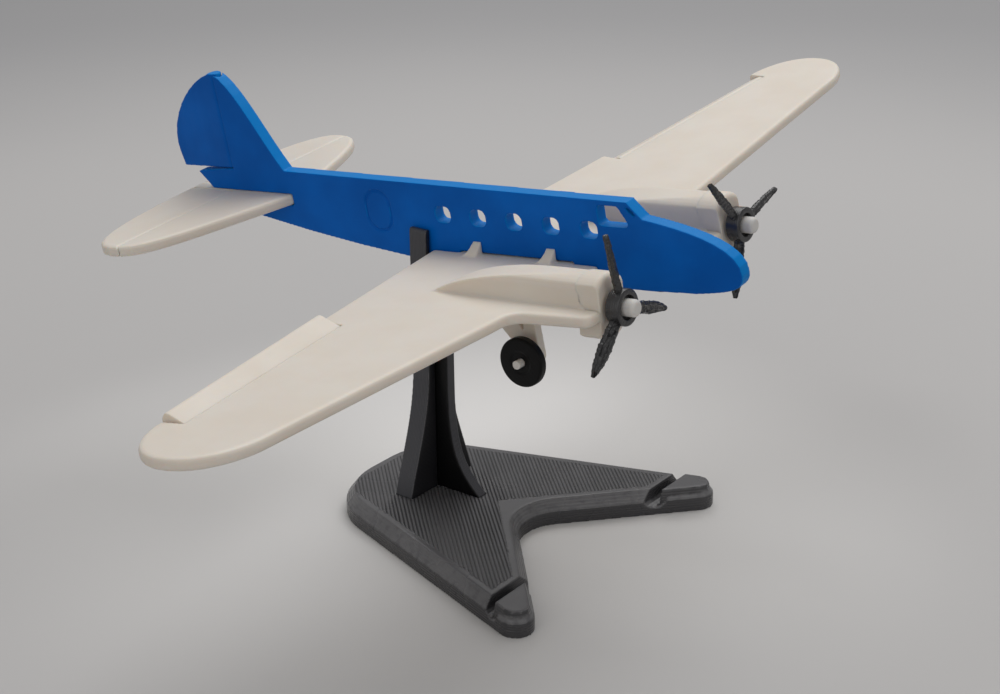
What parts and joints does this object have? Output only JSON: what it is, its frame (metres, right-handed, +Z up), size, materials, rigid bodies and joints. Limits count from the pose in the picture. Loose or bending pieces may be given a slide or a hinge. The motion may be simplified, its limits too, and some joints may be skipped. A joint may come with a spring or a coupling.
{
  "type": "model airliner",
  "caption": "Small printed plastic model of a propeller airliner, built from flat plates, nose-up on a fork post with a V-shaped foot, with turning propellers and wheels.",
  "frame": {"origin": "under the middle of the post's fork, at desk level", "axes": "+X forward, +Y to port, +Z up"},
  "size_m": [0.078, 0.1143, 0.0471],
  "materials": {
    "blue_plate": "satin printed plastic",
    "cream_plate": "matt printed plastic",
    "light_pin": "satin",
    "dark_propeller": "rough printed plastic",
    "black_wheel": "satin",
    "post_black": "satin printed plastic",
    "base_charcoal": "satin printed plastic with fine lines"
  },
  "bodies": {
    "stand": {"stand_post": "post_black", "stand_brace": "post_black", "stand_base": "base_charcoal"},
    "rudder": {"rudder": "blue_plate"},
    "aileron_starboard": {"aileron_starboard": "cream_plate"},
    "elevator_starboard": {"elevator_starboard": "cream_plate"},
    "propeller_starboard": {"propeller_starboard": "dark_propeller"},
    "wheel_starboard": {"wheel_starboard": "black_wheel"},
    "aileron_port": {"aileron_port": "cream_plate"},
    "elevator_port": {"elevator_port": "cream_plate"},
    "propeller_port": {"propeller_port": "dark_propeller"},
    "wheel_port": {"wheel_port": "black_wheel"},
    "model": {"fuselage_plate": "blue_plate", "wing_starboard": "cream_plate", "wing_port": "cream_plate", "tailplane": "cream_plate", "engine_cowl_starboard": "cream_plate", "engine_cowl_port": "cream_plate", "propeller_pin_starboard": "light_pin", "propeller_pin_port": "light_pin", "gear_leg_starboard": "cream_plate", "gear_leg_port": "cream_plate", "axle_starboard": "light_pin", "axle_port": "light_pin"}
  },
  "joints": [
    {"name": "model_lift", "type": "slide", "parent": "stand", "child": "model", "axis": [0, 0, 1], "range_m": [0, 0.02]},
    {"name": "rudder_hinge", "type": "hinge", "parent": "model", "child": "rudder", "pos_m": [-0.02878, -0.00068, 0.03569], "axis": [-0.1196, -0.0924, 0.9885], "range_deg": [-19, 31]},
    {"name": "aileron_starboard_hinge", "type": "hinge", "parent": "model", "child": "aileron_starboard", "pos_m": [0.00894, -0.02507, 0.03173], "axis": [-0.1847, 0.9827, -0.0137], "range_deg": [-57, 3]},
    {"name": "elevator_starboard_hinge", "type": "hinge", "parent": "model", "child": "elevator_starboard", "pos_m": [-0.02907, -0.00141, 0.03228], "axis": [-0.0111, 0.9957, 0.0917], "range_deg": [-22, 22]},
    {"name": "propeller_starboard_spin", "type": "hinge", "parent": "model", "child": "propeller_starboard", "pos_m": [0.03219, -0.01123, 0.03517], "axis": [0.9928, 0, 0.1201], "continuous": true},
    {"name": "wheel_starboard_spin", "type": "hinge", "parent": "model", "child": "wheel_starboard", "pos_m": [0.02167, -0.01142, 0.02707], "axis": [-0.001, 1, 0.0087], "continuous": true},
    {"name": "aileron_port_hinge", "type": "hinge", "parent": "model", "child": "aileron_port", "pos_m": [0.00838, 0.02485, 0.03633], "axis": [0.163, 0.9675, 0.1933], "range_deg": [-7, 53]},
    {"name": "elevator_port_hinge", "type": "hinge", "parent": "model", "child": "elevator_port", "pos_m": [-0.02909, 0.00066, 0.03247], "axis": [-0.0111, 0.9957, 0.0917], "range_deg": [-22, 22]},
    {"name": "propeller_port_spin", "type": "hinge", "parent": "model", "child": "propeller_port", "pos_m": [0.03194, 0.01113, 0.03723], "axis": [0.9928, 0, 0.1201], "continuous": true},
    {"name": "wheel_port_spin", "type": "hinge", "parent": "model", "child": "wheel_port", "pos_m": [0.02141, 0.01257, 0.02928], "axis": [-0.0211, 0.9845, 0.1741], "continuous": true}
  ]
}
